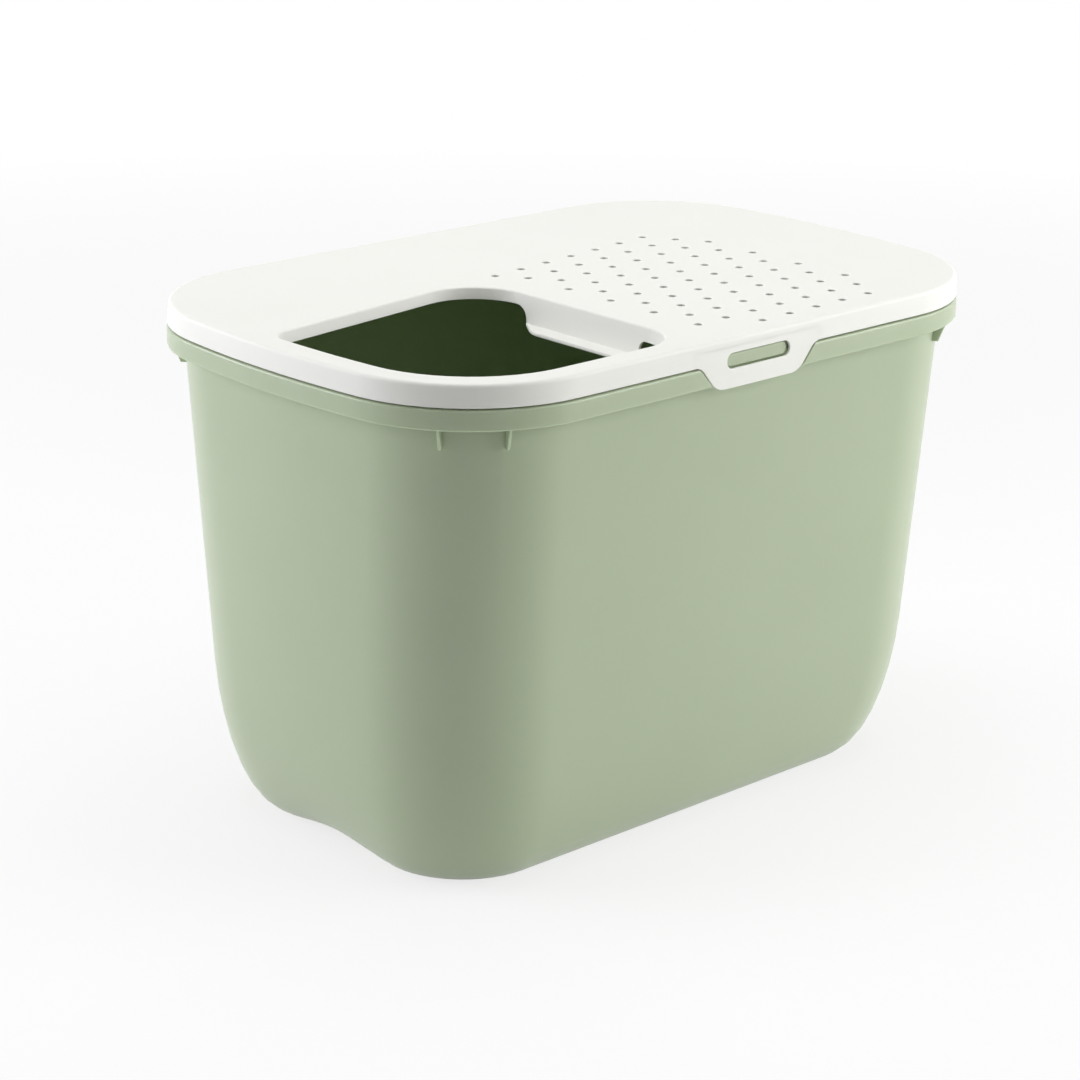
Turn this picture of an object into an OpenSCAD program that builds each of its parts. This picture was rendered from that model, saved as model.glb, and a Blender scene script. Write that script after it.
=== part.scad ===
// Top entry litter box: a deep tub, a lid with an entry recess and vents, and two snap latches.
// Millimetres, +Z up. The origin is on the floor, at the middle of the footprint.
// +X runs along the length, away from the entry. The front long side faces -Y.

/* [Overall] */
// Length over the tub's rim
body_l = 585; // [500:1:700]
// Width over the tub's rim
body_w = 390; // [340:1:460]
// Height from the floor to the top of the lid
total_h = 392.5; // [300:0.5:480]
// Plan radius of the rim's corners
corner_r = 112.5; // [80:0.5:130]
// How far each short end bows out between its corners
end_bow = 4.5; // [1:0.5:12]

/* [Tub] */
// Thickness of the tub's walls and floor
tub_t = 2.6; // [2:0.1:4]
// Lean of the short end walls, in degrees
end_draft = 3.15; // [1:0.05:5]
// Lean of the long side walls, in degrees
side_draft = 3.6; // [1:0.05:5]
// Height of the rounding between the walls and the floor
base_round_h = 114; // [60:1:140]
// Reach of that rounding in from the walls
base_round_in = 36; // [20:1:45]
// Height of the hand grip arched into the base at each short end
grip_h = 8; // [3:0.5:14]
// Width of the hand grip
grip_w = 150; // [100:1:180]
// Depth of the hand grip under the base
grip_d = 45; // [25:1:55]

/* [Rim] */
// Thickness of the rim's band, ledge and lip
rim_t = 2.4; // [2:0.1:3.5]
// Height of the band that hangs outside the wall
band_h = 15; // [10:0.5:25]
// Reach of the band out from the wall, at the ledge
overhang = 12; // [9:0.5:18]
// Thickness of the stiffening ribs under the corners
rib_t = 2; // [1.5:0.1:4]
// How far the ribs reach below the band
rib_drop = 16; // [8:0.5:24]
// Places of the two ribs round each corner, in degrees from the short end
rib_angles = [38, 64]; // [20:1:75]

/* [Lid] */
// Thickness of the lid
lid_t = 2.5; // [2:0.1:3.5]
// Height of the lid's skirt
skirt_h = 16.5; // [12:0.5:24]
// Rounding between the skirt and the top
edge_r = 3; // [1.5:0.5:5]

/* [Entry] */
// Width of the strip of lid left outside the entry, at the front and the end
strip_w = 21.5; // [14:0.5:30]
// Distance from the lid's middle to the entry's recess
recess_x = 53; // [40:1:90]
// Turn of the recess's back edge away from the long side, in degrees
back_turn = 8.3; // [0:0.1:10]
// Distance from the lid's middle back to that edge, at the end strip
back_y = 18.7; // [10:0.1:40]
// Lean of the recess's walls, in degrees from the vertical
wall_draft = 17; // [5:0.5:22]
// Rounding of the recess's upper edge
recess_r = 2; // [1:0.5:2.5]
// Depth of the short wall round the back, the end and the front
collar_depth = 8.8; // [5:0.1:10]
// Depth of the shelf that a cat steps on beside the entry
shelf_depth = 20; // [16:0.5:24]
// Width of the shelf
shelf_w = 14.4; // [8:0.1:28]
// Distance from the lid's middle forwards to the shelf's back end
shelf_end = 15; // [5:1:40]
// Width of the slot over the shelf that a scoop hangs in
scoop_slot_w = 24; // [14:1:30]
// Height of that slot
scoop_slot_h = 9; // [6:0.5:10]

/* [Vents] */
// Diameter of each vent hole
vent_d = 6.5; // [4:0.5:9]
// Distance between the holes of a row
vent_pitch_x = 29.7; // [24:0.1:32]
// Distance between rows
vent_pitch_y = 23.4; // [18:0.1:25]
// Turn of the front row, in degrees
vent_turn_front = 2.2; // [0:0.1:4]
// Turn of the back row, in degrees
vent_turn_back = 7.3; // [4:0.1:9]

/* [Latches] */
// Width of each latch along its lower edge
latch_w = 83.5; // [70:0.5:100]
// How far a latch hangs below the skirt
latch_drop = 20; // [16:0.5:24]
// Slope of the latch's flanks, in degrees from the horizontal
latch_slope = 50; // [40:1:70]
// Thickness of the latches
latch_t = 1.9; // [1.5:0.1:2.4]
// Width of the window in each latch
window_w = 64.4; // [50:0.1:70]
// Height of the window
window_h = 11.4; // [9:0.1:13]

/* [Fits] */
// Clearance between the lid's skirt and the tub's lip
skirt_fit = 0.6; // [0.3:0.1:1.2]
// Clearance under the lid where it rests on the lip
rest_fit = 0.3; // [0.2:0.1:0.6]
// Shadow gap between the skirt and the band
shadow_gap = 1.2; // [0.8:0.1:2]
// Clearance between a latch and the catch behind it
catch_fit = 0.3; // [0.2:0.1:0.6]
// Gap round each latch in the band
latch_gap = 1.4; // [1:0.1:2.5]

/* [Hidden] */
$fn = 48;

sage = "#a9b89c";
white = "#f3f3ef";

// Steps round each corner, along half a short end and round small edges
corner_steps = 12;
end_steps = 5;
edge_steps = 3;
base_steps = 8;

// Heights of the joint between the lid and the tub
skirt_z = total_h - skirt_h;
ledge_z = skirt_z - shadow_gap;
band_z = ledge_z - band_h;
lid_under = total_h - lid_t;
lip_z = lid_under - rest_fit;

// Insets from the rim's outline: skirt, lip, latches and catches
skirt_out = 0.3;
skirt_draft = 1;
skirt_in = 3.4;
lip_out = skirt_in + skirt_fit;
lip_in = lip_out + rim_t;
latch_in = skirt_out + latch_t;
catch_out = latch_in + catch_fit;

// Small roundings: the lip and the band's foot, the band's shoulder, the lid's inner corner
lip_r = 0.6;
shoulder_r = 1.8;
inner_r = lip_r + (skirt_fit + rest_fit) / 2;

// How much tighter the tub's corners and ends get from the ledge to the floor
corner_shrink = 8;
bow_shrink = 3;
// Share of the base rounding's reach that also tightens the corners
corner_follow = 0.87;

// How far a rib's foot stands out from the wall
rib_foot = 4.5;

// Height of the latches' hinge line and of the window's middle
hinge_z = skirt_z + 10;
window_z = skirt_z - 0.3;
// Run of a latch's flank, and the length of skirt that flexes past it
latch_run = latch_drop / tan(latch_slope);
latch_ear = 5.5;
latch_top_w = latch_w + 2 * (latch_run + latch_ear);
latch_r = 9;
// Margins of the catch inside the window
catch_side = 1.8;
catch_end = 1.2;

// Recess: heights of the short wall's foot and of the shelf, and the run of a wall down to z
collar_z = total_h - collar_depth;
shelf_z = total_h - shelf_depth;
function run(z) = (total_h - z) * tan(wall_draft);
// Corner radii of the recess: by the latch, at the back and at the far end
front_corner_r = 35;
back_corner_r = 45;
tip_r = 16;
// Distance from the lid's middle to the foot of the shelf's wall, and to the shelf's edge
foot_x = recess_x + run(shelf_z);
shelf_x = foot_x + shelf_w;
// Slant of the shelf's back end, in degrees, and the roundings of its edge
shelf_slant = 54;
shelf_back_r = 28;
shelf_front_r = 12;
// Radius in which the deep wall's ends sweep up to the short wall
sweep_r = 15;
// Place of the scoop slot: its middle from the lid's front, and its sill over the shelf
scoop_front = 51.5;
scoop_sill = 1;

// How far a cut runs past the faces it goes through
past = 3;

// Turn of half a short end, and the centre of the corner next to it.
// a and b are half the length and width, r the corner radius, bow the rise of the end.
function end_turn(b, r, bow) = 2 * atan(bow / (b - r));
function end_radius(b, r, bow) = (b - r) / sin(end_turn(b, r, bow)) + r;
function corner_x(a, b, r, bow) =
    a - end_radius(b, r, bow) + (end_radius(b, r, bow) - r) * cos(end_turn(b, r, bow));

// A quarter of an outline, from the front corner to the middle of the right end
function quarter(a, b, r, bow) =
    let (t = end_turn(b, r, bow), end_r = end_radius(b, r, bow), cx = corner_x(a, b, r, bow))
    concat(
        [for (i = [0 : corner_steps])
            let (u = -90 + (90 - t) * i / corner_steps)
            [cx + r * cos(u), -(b - r) + r * sin(u)]],
        [for (i = [1 : end_steps])
            let (u = -t + t * i / end_steps)
            [a - end_r + end_r * cos(u), end_r * sin(u)]]
    );

// The whole outline, turning from +X to +Y
function outline(a, b, r, bow) =
    let (q = quarter(a, b, r, bow), n = len(q))
    concat(
        q,
        [for (i = [n - 2 : -1 : 0]) [q[i].x, -q[i].y]],
        [for (p = q) [-p.x, -p.y]],
        [for (i = [n - 2 : -1 : 0]) [-q[i].x, q[i].y]]
    );

function lift(points, z) = [for (p = points) [p.x, p.y, z]];

// The rim's outline moved in by d, at height z
function rim_ring(d, z) =
    lift(outline(body_l / 2 - d, body_w / 2 - d, corner_r - d, end_bow), z);

// Half length, half width, corner radius and bow of the wall's outer face at height z
function wall_at(z) =
    let (drop = ledge_z - rim_t - z, part = drop / ledge_z)
    [
        body_l / 2 - overhang - drop * tan(end_draft),
        body_w / 2 - overhang - drop * tan(side_draft),
        corner_r - overhang - corner_shrink * part,
        end_bow - bow_shrink * part
    ];

// Rise of the base over the hand grips, at a point of the base
function grip_rise(p, z) =
    let (
        side = abs(p.y) < grip_w / 2 ? pow(cos(180 * p.y / grip_w), 2) : 0,
        reach = (abs(p.x) - (wall_at(0)[0] - base_round_in - grip_d)) / grip_d,
        s = min(max(reach, 0), 1),
        fade = pow(1 - min(z / base_round_h, 1), 2)
    )
    grip_h * side * s * s * (3 - 2 * s) * fade;

// The wall's outline at height z moved in by d, drawn at height up, with the hand grips
function wall_ring(z, d, up) =
    let (w = wall_at(z), r = w[2] - corner_follow * d)
    [for (p = outline(w[0] - d, w[1] - d, r, w[3])) [p.x, p.y, up + grip_rise(p, z)]];

// One ring of the base rounding, u degrees down from the wall, moved in by t square to it
function base_ring(u, t) =
    let (
        z = base_round_h * (1 - sin(u)),
        nx = cos(u) / base_round_in,
        nz = sin(u) / base_round_h,
        n = norm([nx, nz])
    )
    wall_ring(z, base_round_in * (1 - cos(u)) + t * nx / n, z + t * nz / n);

// Solid through a list of rings, closed across the first and the last
module loft(rings) {
    n = len(rings[0]);
    last = (len(rings) - 1) * n;
    sides = [for (k = [0 : len(rings) - 2]) for (i = [0 : n - 1])
        let (a = k * n + i, b = k * n + (i + 1) % n)
        each [[a, a + n, b + n], [a, b + n, b]]];
    polyhedron(
        points = [for (ring = rings) each ring],
        faces = concat([[for (i = [0 : n - 1]) i]], sides, [[for (i = [n - 1 : -1 : 0]) last + i]])
    );
}

// Arc that rounds the corner c between the points p and q
function round_corner(p, c, q, r, steps = 6) =
    let (
        u = (p - c) / norm(p - c),
        v = (q - c) / norm(q - c),
        half = acos(u * v) / 2,
        m = c + (u + v) / norm(u + v) * r / sin(half),
        s = c + u * r / tan(half) - m,
        e = c + v * r / tan(half) - m,
        a0 = atan2(s.y, s.x),
        turn = (atan2(e.y, e.x) - a0 + 900) % 360 - 180
    )
    [for (i = [0 : steps]) m + r * [cos(a0 + turn * i / steps), sin(a0 + turn * i / steps)]];

// Insets and heights round the band, the ledge and the lip, from the wall up and back inside
rim_path = concat(
    [[overhang, ledge_z - rim_t], [rim_t, ledge_z - rim_t], [rim_t, band_z]],
    [[lip_r, band_z], [0, band_z + lip_r]],
    [for (i = [0 : edge_steps])
        let (u = 90 * i / edge_steps)
        [shoulder_r * (1 - cos(u)), ledge_z - shoulder_r * (1 - sin(u))]],
    [[lip_out, ledge_z], [lip_out, lip_z - lip_r], [lip_out + lip_r, lip_z]],
    [[lip_in - lip_r, lip_z], [lip_in, lip_z - lip_r], [lip_in, ledge_z + shoulder_r]],
    [[lip_in + shoulder_r, ledge_z], [overhang + tub_t, ledge_z - 1]]
);

// Insets of the rings that cross the floor, past the base rounding
floor_insets = [12, 24, 36, grip_d + 5];

module tub_shell() {
    loft(concat(
        [for (i = [len(floor_insets) - 1 : -1 : 0]) wall_ring(0, base_round_in + floor_insets[i], 0)],
        [for (i = [0 : base_steps]) base_ring(90 - 90 * i / base_steps, 0)],
        [for (p = rim_path) rim_ring(p[0], p[1])],
        [for (i = [0 : base_steps]) base_ring(90 * i / base_steps, tub_t)],
        [for (d = floor_insets) wall_ring(0, base_round_in + d, tub_t)]
    ));
}

// Flank and lower edge of a latch in the XZ plane, grown outwards by g
function latch_profile(g, top) =
    let (
        low = skirt_z - latch_drop - g,
        grow = g / sin(latch_slope),
        foot = [latch_w / 2 + grow - g / tan(latch_slope), low],
        shoulder = [latch_w / 2 + latch_run + grow, skirt_z],
        far = [latch_top_w / 2 + g, skirt_z],
        half = concat(
            [[far.x, top], far],
            round_corner(far, shoulder, foot, latch_r - g),
            round_corner(shoulder, foot, [0, low], latch_r + g)
        )
    )
    concat(half, [for (i = [len(half) - 1 : -1 : 0]) [-half[i].x, half[i].y]]);

// A profile in the XZ plane carried along Y from the inset y0 to the inset y1 of the front
module along_front(y0, y1) {
    translate([0, y1 - body_w / 2, 0])
        rotate([90, 0, 0])
            linear_extrude(y1 - y0)
                children();
}

// Outline of a slot with round ends, w wide and h high
module stadium(w, h) {
    square([w - h, h], center = true);
    for (side = [-1, 1])
        translate([side * (w - h) / 2, 0])
            circle(d = h);
}

// Slot at the place of a latch's window
module slot(w, h, y0, y1) {
    along_front(y0, y1)
        translate([0, window_z])
            stadium(w, h);
}

// Cut in the band and ledge that a latch hangs in
module band_notch() {
    along_front(-1, catch_out + 0.5)
        polygon(latch_profile(latch_gap, ledge_z + 1));
}

// Rib under the rim at an angle round a corner, drawn from the corner's centre outwards
module rib(angle) {
    root = corner_r - overhang - tub_t / 2;
    low_root = root - (band_h + rib_drop) * tan((end_draft + side_draft) / 2);
    translate([corner_x(body_l / 2, body_w / 2, corner_r, end_bow), corner_r - body_w / 2, 0])
        rotate([90, 0, -angle])
            translate([0, 0, -rib_t / 2])
                linear_extrude(rib_t)
                    polygon([
                        [root, ledge_z - rim_t / 2],
                        [low_root, band_z - rib_drop],
                        [low_root + rib_foot + tub_t / 2, band_z - rib_drop],
                        [corner_r - rim_t - 1, band_z],
                        [corner_r - rim_t / 2, band_z + 1],
                        [corner_r - rim_t / 2, ledge_z - rim_t / 2]
                    ]);
}

module mirrored(axes) {
    children();
    mirror(axes)
        children();
}

module tub() {
    color(sage)
        union() {
            difference() {
                tub_shell();
                mirrored([0, 1, 0])
                    band_notch();
            }
            mirrored([0, 1, 0])
                slot(window_w - 2 * catch_side, window_h - 2 * catch_end, catch_out, lip_in - 0.5);
            mirrored([0, 1, 0])
                mirrored([1, 0, 0])
                    for (angle = rib_angles)
                        rib(angle);
        }
}

// The lid's plate and skirt: up the inside, across the foot, up the outside, over the edge
module lid_shell() {
    top_d = skirt_out + skirt_draft;
    loft(concat(
        [rim_ring(skirt_in + inner_r, lid_under), rim_ring(skirt_in, lid_under - inner_r)],
        [rim_ring(skirt_in, skirt_z), rim_ring(skirt_out, skirt_z)],
        [for (i = [0 : edge_steps])
            let (u = 90 * i / edge_steps)
            rim_ring(top_d + edge_r * (1 - cos(u)), total_h - edge_r * (1 - sin(u)))]
    ));
}

// Points of the recess's front and end, which follow the lid's edge, moved in by d
function strip_points(d) =
    let (
        b = body_w / 2 - strip_w - d,
        q = quarter(body_l / 2 - strip_w - d, b, corner_r - strip_w - d, end_bow)
    )
    [for (i = [len(q) - 1 : -1 : 0]) [-q[i].x, q[i].y]];

// Point at x on the recess's back edge, moved in by d
function back_point(x, d) =
    [x, back_y + (x + body_l / 2 - strip_w) * tan(back_turn) - d / cos(back_turn)];

// Outline of the recess, moved in by d
function recess(d) =
    let (
        strip = strip_points(d),
        end = strip[0],
        front = strip[len(strip) - 1],
        c1 = [-recess_x - d, front.y],
        c2 = back_point(-recess_x - d, d),
        c3 = back_point(end.x, d)
    )
    concat(
        strip,
        round_corner(front, c1, c2, front_corner_r - d),
        round_corner(c1, c2, c3, back_corner_r - d, 9),
        round_corner(c2, c3, end, tip_r - d)
    );

function recess_ring(d, z) = lift(recess(d), z);

// Solid inside the recess's leaning walls, moved in by d, from one height to another
module well(d, low, high) {
    loft([recess_ring(run(low) + d, low), recess_ring(run(high) + d, high)]);
}

// Space over the entry and the shelf, with the upper edge rounded away
module recess_hollow() {
    turn = (90 - wall_draft) / edge_steps;
    back = recess_r * tan((90 - wall_draft) / 2);
    rise = recess_r * (1 - cos(turn));
    loft(concat(
        [recess_ring(run(shelf_z), shelf_z)],
        [for (i = [edge_steps : -1 : 1])
            let (u = turn * i)
            recess_ring(recess_r * sin(u) - back, total_h - recess_r * (1 - cos(u)))],
        [for (z = [rise, past]) recess_ring(-recess_r * sin(turn) - back, total_h + z)]
    ));
}

// Profile of one end of the deep wall: upright at e, then swept up and out to the short wall
function sweep(e) =
    let (low = collar_z - sweep_r)
    concat(
        [[-body_l, total_h], [-body_l, low - past], [e, low - past]],
        [for (i = [0 : edge_steps * 2])
            let (u = 45 * i / edge_steps)
            [e + sweep_r * (1 - cos(u)), low + sweep_r * sin(u)]],
        [[e + sweep_r, total_h]]
    );

// A profile in the YZ plane carried along X, and one in the XZ plane carried along Y
module along_x(points) {
    translate([-body_l / 2, 0, 0])
        rotate([90, 0, 90])
            linear_extrude(body_l)
                polygon(points);
}

module along_y(points) {
    translate([0, body_w / 2, 0])
        rotate([90, 0, 0])
            linear_extrude(body_w)
                polygon(points);
}

// Plan of the shelf and of the walls round it, out to past the recess
function shelf_plan() =
    let (
        foot = strip_w - body_w / 2 + run(shelf_z) + 0.5,
        left = [-shelf_x - 3 * shelf_front_r, foot],
        front = [-shelf_x, foot],
        back = [-shelf_x, -shelf_end - shelf_w * tan(shelf_slant)],
        tip = [-foot_x - 0.5, -shelf_end]
    )
    concat(
        [[left.x, -body_w / 2], left],
        round_corner(left, front, back, shelf_front_r),
        round_corner(front, back, tip, shelf_back_r),
        [tip, [tip.x, body_w / 2], [0, body_w / 2], [0, -body_w / 2]]
    );

// Block of the deep wall and the shelf, before the recess is cut from it
module deep_part() {
    intersection() {
        well(-lid_t, shelf_z - lid_t, lid_under + lid_t / 2);
        linear_extrude(total_h)
            polygon(shelf_plan());
        along_x(sweep(-shelf_end));
        mirror([1, 0, 0])
            along_y(sweep(shelf_x + shelf_front_r));
    }
}

// Slot through the deep wall, just over the shelf
module scoop_slot() {
    translate([-foot_x - lid_t, scoop_front - body_w / 2, shelf_z + scoop_sill + scoop_slot_h / 2])
        rotate([90, 0, 90])
            linear_extrude(4 * lid_t + run(shelf_z))
                stadium(scoop_slot_w, scoop_slot_h);
}

// Rows of vent holes, front to back: the first place in the row and the number of holes
function vent_first(row) = row == 0 ? -8 : row == 10 ? -12 : row % 2 == 0 ? -10 : -11;
function vent_count(row) = row == 0 ? 5 : 7;
vent_rows = 11;
// Middle of the last hole in an even row, and the point that the rows turn about
vent_x = 144.5;
vent_pivot_x = 80;
vent_front = 24.4;

module vents() {
    for (row = [0 : vent_rows - 1]) {
        turn = vent_turn_front + (vent_turn_back - vent_turn_front) * row / (vent_rows - 1);
        y = vent_front - body_w / 2 + row * vent_pitch_y;
        for (k = [0 : vent_count(row) - 1]) {
            x = vent_x + (vent_first(row) + 2 * k) * vent_pitch_x / 2;
            translate([x, y + (x - vent_pivot_x) * tan(turn), lid_under - past])
                cylinder(d = vent_d, h = lid_t + 2 * past, $fn = 24);
        }
    }
}

module latch_cut() {
    along_front(-1, skirt_in + 0.2)
        translate([-latch_top_w / 2, 0])
            square([latch_top_w, hinge_z]);
}

module lid() {
    color(white)
        difference() {
            union() {
                lid_shell();
                well(-lid_t, collar_z, lid_under + lid_t / 2);
                deep_part();
            }
            recess_hollow();
            scoop_slot();
            vents();
            mirrored([0, 1, 0])
                latch_cut();
        }
}

// A latch at the front: a leaning plate, trimmed to its profile, with a window
module latch() {
    lean = skirt_draft * (hinge_z - skirt_z) / (skirt_h - edge_r);
    low = skirt_z - latch_drop;
    difference() {
        intersection() {
            translate([0, -body_w / 2, 0])
                along_x([
                    [skirt_out, low],
                    [latch_in, low],
                    [latch_in, skirt_z],
                    [latch_in + lean, hinge_z],
                    [skirt_out + lean, hinge_z],
                    [skirt_out, skirt_z]
                ]);
            along_front(-1, skirt_in + 2)
                polygon(latch_profile(0, hinge_z));
        }
        slot(window_w, window_h, -1, skirt_in + 2);
    }
}

module front_latch() {
    color(white)
        latch();
}

module rear_latch() {
    color(white)
        mirror([0, 1, 0])
            latch();
}

tub();
lid();
front_latch();
rear_latch();
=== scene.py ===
# %% [markdown]
# # Top entry litter box
# The object is two plastic mouldings: a deep sage green tub and a flat white lid that a cat
# climbs in through. The CAD model gives every shape at its real size. This lesson turns it
# into a picture: smooth surfaces, softly broken edges, moulded polypropylene, a plain pale
# floor and soft studio light.

# %% Load the CAD frame
import bmesh
import bpy
import math
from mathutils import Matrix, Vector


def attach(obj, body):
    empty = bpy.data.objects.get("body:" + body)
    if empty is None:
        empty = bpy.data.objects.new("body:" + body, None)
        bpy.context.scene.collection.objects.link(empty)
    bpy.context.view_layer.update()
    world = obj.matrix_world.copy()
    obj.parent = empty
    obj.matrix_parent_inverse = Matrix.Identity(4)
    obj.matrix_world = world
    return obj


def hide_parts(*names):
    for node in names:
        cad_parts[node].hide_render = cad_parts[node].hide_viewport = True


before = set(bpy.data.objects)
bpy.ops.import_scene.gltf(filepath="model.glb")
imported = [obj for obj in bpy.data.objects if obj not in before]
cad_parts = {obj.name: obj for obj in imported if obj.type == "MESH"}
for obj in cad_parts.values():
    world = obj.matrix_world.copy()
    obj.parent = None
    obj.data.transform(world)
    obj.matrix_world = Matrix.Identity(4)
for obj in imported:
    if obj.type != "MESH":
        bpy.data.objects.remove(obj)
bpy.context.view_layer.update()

# %% [markdown]
# ## Camera
# The photograph was taken from the front left corner with a long lens, so the far edges
# shrink only a little. The angles and the lens were fitted to the outline of the lid and tub.

# %% Camera
bpy.ops.object.camera_add(location=(-1.48830, -1.57840, 0.92228))
camera = bpy.context.object
camera.name = "camera"
camera.rotation_euler = [math.radians(a) for a in (71.2572, -0.7333, -42.5051)]
camera.data.sensor_width = 36
camera.data.lens = 98.553
camera.data.clip_end = 100
bpy.context.scene.camera = camera
print("lens", camera.data.lens, "mm")

# %% [markdown]
# ## Colours
# Colours are written as sRGB hex values, as in a paint program. The shaders work in linear
# light, so one function does the conversion. The plastic's colour drifts very slightly from
# place to place, so each plastic has a deep and a pale end.

# %% Colours
SAGE_DEEP, SAGE_PALE = "#B1BDA1", "#B6C2A6"
WHITE_DEEP, WHITE_PALE = "#E9E9E3", "#EDEDE7"


def linear(hex_code):
    values = [int(hex_code[i:i + 2], 16) / 255 for i in (1, 3, 5)]
    out = [v / 12.92 if v <= 0.04045 else ((v + 0.055) / 1.055) ** 2.4 for v in values]
    return (*out, 1.0)


print("sage green in linear light:", [round(v, 3) for v in linear(SAGE_DEEP)])

# %% [markdown]
# ## Nodes
# A material is a graph of nodes. This helper adds one node, sets its values and connects its
# inputs, so that each material below reads as a list of steps. A second one tells the rays
# that make the picture, straight or mirrored, from those that only carry light.

# %% Node helpers
def add(tree, kind, settings=None, values=None, links=None):
    node = tree.nodes.new(kind)
    for name, value in (settings or {}).items():
        setattr(node, name, value)
    for name, value in (values or {}).items():
        node.inputs[name].default_value = value
    for name, socket in (links or {}).items():
        tree.links.new(socket, node.inputs[name])
    return node


def seen_rays(tree):
    rays = add(tree, "ShaderNodeLightPath")
    return add(tree, "ShaderNodeMath", {"operation": "MAXIMUM"},
               links={0: rays.outputs["Is Camera Ray"],
                      1: rays.outputs["Is Glossy Ray"]}).outputs[0]


def empty_material(name):
    material = bpy.data.materials.new(name)
    material.use_nodes = True
    material.node_tree.nodes.clear()
    return material, material.node_tree

# %% [markdown]
# ## Moulded polypropylene
# Both parts are injection moulded polypropylene. It is an even, slightly waxy plastic: the
# colour is in the material, the walls are thin enough to let a little light through, and wide
# surfaces are never quite flat because the plastic shrinks as it cools. Three layers of noise
# give that: a very faint change of colour, slow waves some centimetres across and a fine
# grain from the mould. The grain is drawn near its real size, so it isn't seen as dots: it
# only turns the gloss into satin. Subsurface scattering lets the light into the walls.

# %% Polypropylene
PLASTIC_IOR = 1.49
CLOUDS_PER_METRE = 9.0
WAVE_MM, WAVE_STRENGTH, WAVE_HEIGHT = 45, 0.12, 0.0006
GRAIN_MM, GRAIN_STRENGTH, GRAIN_HEIGHT = 0.4, 0.10, 0.00002
SATIN_SPREAD = 0.02


def polypropylene(name, deep, pale, roughness, glow, glow_mm):
    material, tree = empty_material(name)
    place = add(tree, "ShaderNodeTexCoord").outputs["Object"]
    clouds = add(tree, "ShaderNodeTexNoise", values={"Scale": CLOUDS_PER_METRE, "Detail": 2.0},
                 links={"Vector": place})
    colour = add(tree, "ShaderNodeMix", {"data_type": "RGBA"},
                 links={"Factor": clouds.outputs["Fac"]})
    colour.inputs[6].default_value = linear(deep)
    colour.inputs[7].default_value = linear(pale)
    waves = add(tree, "ShaderNodeTexNoise", values={"Scale": 1000 / WAVE_MM, "Detail": 1.0},
                links={"Vector": place})
    grain = add(tree, "ShaderNodeTexNoise", values={"Scale": 1000 / GRAIN_MM, "Detail": 2.0},
                links={"Vector": place})
    satin = add(tree, "ShaderNodeMapRange",
                values={"To Min": roughness - SATIN_SPREAD, "To Max": roughness + SATIN_SPREAD},
                links={"Value": grain.outputs["Fac"]})
    wavy = add(tree, "ShaderNodeBump",
               values={"Strength": WAVE_STRENGTH, "Distance": WAVE_HEIGHT},
               links={"Height": waves.outputs["Fac"]})
    grainy = add(tree, "ShaderNodeBump",
                 values={"Strength": GRAIN_STRENGTH, "Distance": GRAIN_HEIGHT},
                 links={"Height": grain.outputs["Fac"], "Normal": wavy.outputs["Normal"]})
    plastic = add(tree, "ShaderNodeBsdfPrincipled",
                  values={"IOR": PLASTIC_IOR, "Subsurface Weight": glow,
                          "Subsurface Scale": glow_mm / 1000,
                          "Subsurface Radius": (1.0, 1.0, 1.0)},
                  links={"Base Color": colour.outputs[2], "Roughness": satin.outputs["Result"],
                         "Normal": grainy.outputs["Normal"]})
    add(tree, "ShaderNodeOutputMaterial", links={"Surface": plastic.outputs["BSDF"]})
    return material


sage = polypropylene("polypropylene_sage_moulded", SAGE_DEEP, SAGE_PALE, 0.30, 0.85, 4)
white = polypropylene("polypropylene_white_moulded", WHITE_DEEP, WHITE_PALE, 0.52, 0.4, 3)
print("materials:", sage.name, white.name)

# %% [markdown]
# ## Mouldings
# The CAD shapes are right, but they arrive as loose flat triangles, so a rounded corner would
# show its facets. Each moulding starts as a copy of its CAD node whose triangles are welded
# and whose flat ones are merged into whole faces. Welding comes first, because smooth shading
# and bevels only work across shared edges.

# %% Copy a CAD node and weld it
WELD_METRES = 0.00002
FLAT = math.radians(0.5)


def select_only(piece):
    bpy.ops.object.select_all(action="DESELECT")
    piece.select_set(True)
    bpy.context.view_layer.objects.active = piece


def welded_copy(node, name):
    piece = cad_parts[node].copy()
    piece.data = piece.data.copy()
    piece.name = name
    piece.parent = None
    for key in [k for k in piece.keys() if k.startswith("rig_")]:
        del piece[key]
    bpy.context.scene.collection.objects.link(piece)
    select_only(piece)
    bpy.ops.object.mode_set(mode="EDIT")
    bpy.ops.mesh.select_all(action="SELECT")
    bpy.ops.mesh.remove_doubles(threshold=WELD_METRES)
    bpy.ops.mesh.dissolve_limited(angle_limit=FLAT)
    bpy.ops.object.mode_set(mode="OBJECT")
    return piece

# %% [markdown]
# ## Edges
# A mould never leaves a knife edge: every rib, rim and opening ends in a small radius that
# catches the light. A bevel gives that. How wide it is differs from edge to edge, so the
# sharp edges are found in edit mode and each outward one gets its own bevel weight, from its
# place in millimetres. Weight 1 is the full radius, and 0 leaves an edge alone.

# %% Round the edges and shade the rest smooth
SHARP = math.radians(38)


def weigh_edges(mesh, weight_at):
    marked = bmesh.new()
    marked.from_mesh(mesh)
    weights = marked.edges.layers.float.new("bevel_weight_edge")
    for edge in marked.edges:
        if edge.select and edge.is_convex:
            edge[weights] = weight_at([end.co * 1000 for end in edge.verts])
    marked.to_mesh(mesh)
    marked.free()


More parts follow.
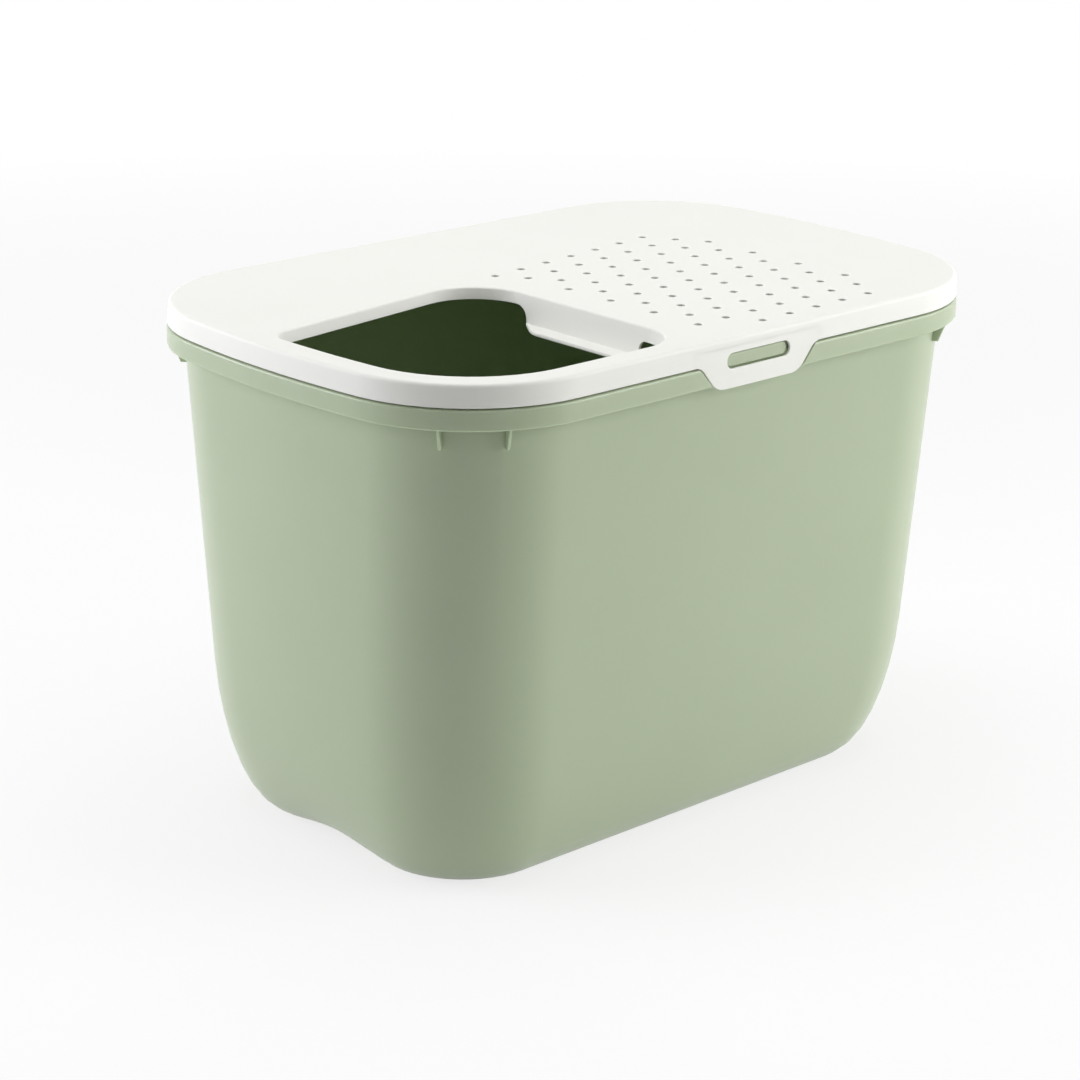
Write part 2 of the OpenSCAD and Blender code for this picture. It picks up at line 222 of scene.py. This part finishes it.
def rounded(piece, radius_mm, weight_at, material):
    select_only(piece)
    bpy.ops.object.mode_set(mode="EDIT")
    bpy.ops.mesh.select_mode(type="EDGE")
    bpy.ops.mesh.select_all(action="DESELECT")
    bpy.ops.mesh.edges_select_sharp(sharpness=SHARP)
    bpy.ops.object.mode_set(mode="OBJECT")
    weigh_edges(piece.data, weight_at)
    bevel = piece.modifiers.new("edges", "BEVEL")
    bevel.width = radius_mm / 1000
    bevel.segments = 3
    bevel.limit_method = "WEIGHT"
    bevel.use_clamp_overlap = False
    bevel.miter_outer = "MITER_ARC"
    bpy.ops.object.modifier_apply(modifier="edges")
    bpy.ops.object.shade_smooth_by_angle(angle=SHARP)
    weigh = piece.modifiers.new("weigh", "WEIGHTED_NORMAL")
    weigh.keep_sharp = True
    bpy.ops.object.modifier_apply(modifier="weigh")
    piece.data.materials.clear()
    piece.data.materials.append(material)
    print(piece.name, len(piece.data.polygons), "faces")

# %% [markdown]
# ## Tub and lid
# The tub has the same small radius everywhere. On the lid the edge of the shelf in the entry
# is rounded most, because the cat steps on it, and the seam round each latch is left sharp:
# the real latch is one plastic with the lid, so no groove may show there. The places are in
# millimetres, as in the CAD model.

# %% Tub and lid
HINGE_Z = 386.0
SKIRT_Z = 376.0
SHELF_Z = 372.5
NEAR = 0.1
LATCH_EAR_X = 64.03
LATCH_CUT_Y = 189
SHELF_EDGE_X, SHELF_FRONT_Y = -63, -156
ENTRY_RIGHT_X, ENTRY_FRONT_Y, ENTRY_BACK_Y, ENTRY_TOP_Z = -45, -175, 85, 388


def by_latch(p):
    return abs(p.x) < LATCH_EAR_X + NEAR and p.z < HINGE_Z + NEAR and abs(p.y) > LATCH_CUT_Y


def under_entry(p):
    return p.x < ENTRY_RIGHT_X and ENTRY_FRONT_Y < p.y < ENTRY_BACK_Y and p.z < ENTRY_TOP_Z


def lid_weight(ends):
    if all(by_latch(p) for p in ends):
        return 0.0
    if all(abs(p.z - SHELF_Z) < NEAR for p in ends):
        return 1.0 if all(p.x < SHELF_EDGE_X and p.y > SHELF_FRONT_Y for p in ends) else 0.0
    return 0.15 if all(under_entry(p) for p in ends) else 0.25


tub = welded_copy("tub", "tub_moulding")
rounded(tub, 0.4, lambda ends: 1.0, sage)
lid = welded_copy("lid", "lid_moulding")
rounded(lid, 1.9, lid_weight, white)

# %% [markdown]
# ## Latches
# Each latch is a springy tab that hangs from the skirt and snaps over a catch on the tub. Its
# corners are rounder than the CAD model's. A fillet that is scaled about the corner it rounds
# off still touches both sides, so moving the points of each fillet away from its corner gives
# a wider one.

# %% Latches
LATCH_FOOT = (41.75, 356.0)
LATCH_SHOULDER = (58.53, SKIRT_Z)
FILLET_REACH = 4.3


def widen_fillet(piece, corner, factor):
    moved = 0
    for point in piece.data.vertices:
        side = math.copysign(1, point.co.x)
        x = abs(point.co.x) * 1000 - corner[0]
        z = point.co.z * 1000 - corner[1]
        if math.hypot(x, z) < FILLET_REACH:
            point.co.x = side * (corner[0] + x * factor) / 1000
            point.co.z = (corner[1] + z * factor) / 1000
            moved += 1
    print(piece.name, "fillet points moved:", moved)


def latch_weight(ends):
    at_hinge = all(p.z > HINGE_Z - NEAR for p in ends)
    at_ear = all(abs(p.x) > LATCH_EAR_X - NEAR for p in ends)
    return 0.0 if at_hinge or at_ear else 1.0


def latch_tab(node):
    tab = welded_copy(node, node + "_tab")
    widen_fillet(tab, LATCH_FOOT, 1.9)
    widen_fillet(tab, LATCH_SHOULDER, 1.28)
    rounded(tab, 0.35, latch_weight, white)
    return tab


front_latch = latch_tab("front_latch")
rear_latch = latch_tab("rear_latch")

# %% [markdown]
# ## Bodies
# Every piece rides on the body of the CAD node that it stands for, so the lid lifts off and
# the latches spring out as they do in the CAD model.

# %% Bodies
pieces = {"tub": tub, "lid": lid, "front_latch": front_latch, "rear_latch": rear_latch}
for node, piece in pieces.items():
    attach(piece, node)
    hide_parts(node)
print("pieces on bodies:", ", ".join(pieces))

# %% [markdown]
# ## Floor
# The photograph has a plain white ground. The floor is a wide plane of white paper. Seen by
# the camera, near the object it is three quarters a steady white and one quarter lit by the
# lamps, so it stays white and still keeps the soft shadow under the tub. Farther off it fades
# to all white, so no horizon shows.

# %% Floor
FADE_FROM_M, FADE_TO_M = 0.7, 2.5
STEADY_NEAR, STEADY_FAR = 0.75, 1.0
PURE_WHITE = (1, 1, 1, 1)

bpy.ops.object.select_all(action="DESELECT")
bpy.ops.mesh.primitive_plane_add(size=60)
floor = bpy.context.object
floor.name = "floor"
paper, tree = empty_material("paper_white_floor")
lit = add(tree, "ShaderNodeBsdfDiffuse", values={"Color": linear("#F4F4F4")})
steady = add(tree, "ShaderNodeEmission", values={"Color": PURE_WHITE, "Strength": 1.0})
spot = add(tree, "ShaderNodeTexCoord").outputs["Object"]
reach = add(tree, "ShaderNodeVectorMath", {"operation": "LENGTH"}, links={0: spot})
white_share = add(tree, "ShaderNodeMapRange",
                  values={"From Min": FADE_FROM_M, "From Max": FADE_TO_M,
                          "To Min": STEADY_NEAR, "To Max": STEADY_FAR},
                  links={"Value": reach.outputs["Value"]})
share = add(tree, "ShaderNodeMath", {"operation": "MULTIPLY"},
            links={0: seen_rays(tree), 1: white_share.outputs["Result"]})
both = add(tree, "ShaderNodeMixShader",
           links={0: share.outputs[0], 1: lit.outputs[0], 2: steady.outputs[0]})
add(tree, "ShaderNodeOutputMaterial", links={"Surface": both.outputs[0]})
floor.data.materials.append(paper)
print("floor", floor.dimensions.x, "m wide")

# %% [markdown]
# ## Light
# Two large soft lamps stand to the right and to the left, as in a product studio, so both
# walls are bright and the corner between them is darker. A third one overhead lights the lid.
# The left one is a touch cooler, as the left wall is in the photograph.

# %% Lamps
WALL_AIM, WALL_SIZE, WALL_WATTS = (0, 0, 0.25), (1.7, 1.4), 34


def lamp(name, place, aim, size, power, tint="#FFFFFF"):
    bpy.ops.object.light_add(type="AREA", location=place)
    light = bpy.context.object
    light.name = name
    light.data.shape = "RECTANGLE"
    light.data.size, light.data.size_y = size
    light.data.energy = power
    light.data.color = linear(tint)[:3]
    way = Vector(aim) - Vector(place)
    light.rotation_euler = way.to_track_quat("-Z", "Y").to_euler()
    print(name, power, "W")


lamp("right_softbox", (1.45, -1.50, 0.8), WALL_AIM, WALL_SIZE, WALL_WATTS)
lamp("left_softbox", (-1.50, 1.45, 0.8), WALL_AIM, WALL_SIZE, WALL_WATTS, "#F9F9FF")
lamp("top_softbox", (0.1, 0.1, 2.4), (0, 0, 0.4), (2.0, 2.0), 33)

# %% [markdown]
# ## Studio room
# The room itself gives only a little light from all sides. What the camera sees of it, straight
# or mirrored, is plain white, like the ground of the photograph.

# %% World and view
ROOM_LIGHT = 0.16

world = bpy.data.worlds.new("studio")
bpy.context.scene.world = world
world.use_nodes = True
tree = world.node_tree
tree.nodes.clear()
room = add(tree, "ShaderNodeBackground", values={"Color": PURE_WHITE, "Strength": ROOM_LIGHT})
backdrop = add(tree, "ShaderNodeBackground", values={"Color": PURE_WHITE, "Strength": 1.0})
both = add(tree, "ShaderNodeMixShader",
           links={0: seen_rays(tree), 1: room.outputs[0], 2: backdrop.outputs[0]})
add(tree, "ShaderNodeOutputWorld", links={"Surface": both.outputs[0]})
bpy.context.scene.view_settings.view_transform = "Standard"
print("room light", ROOM_LIGHT)
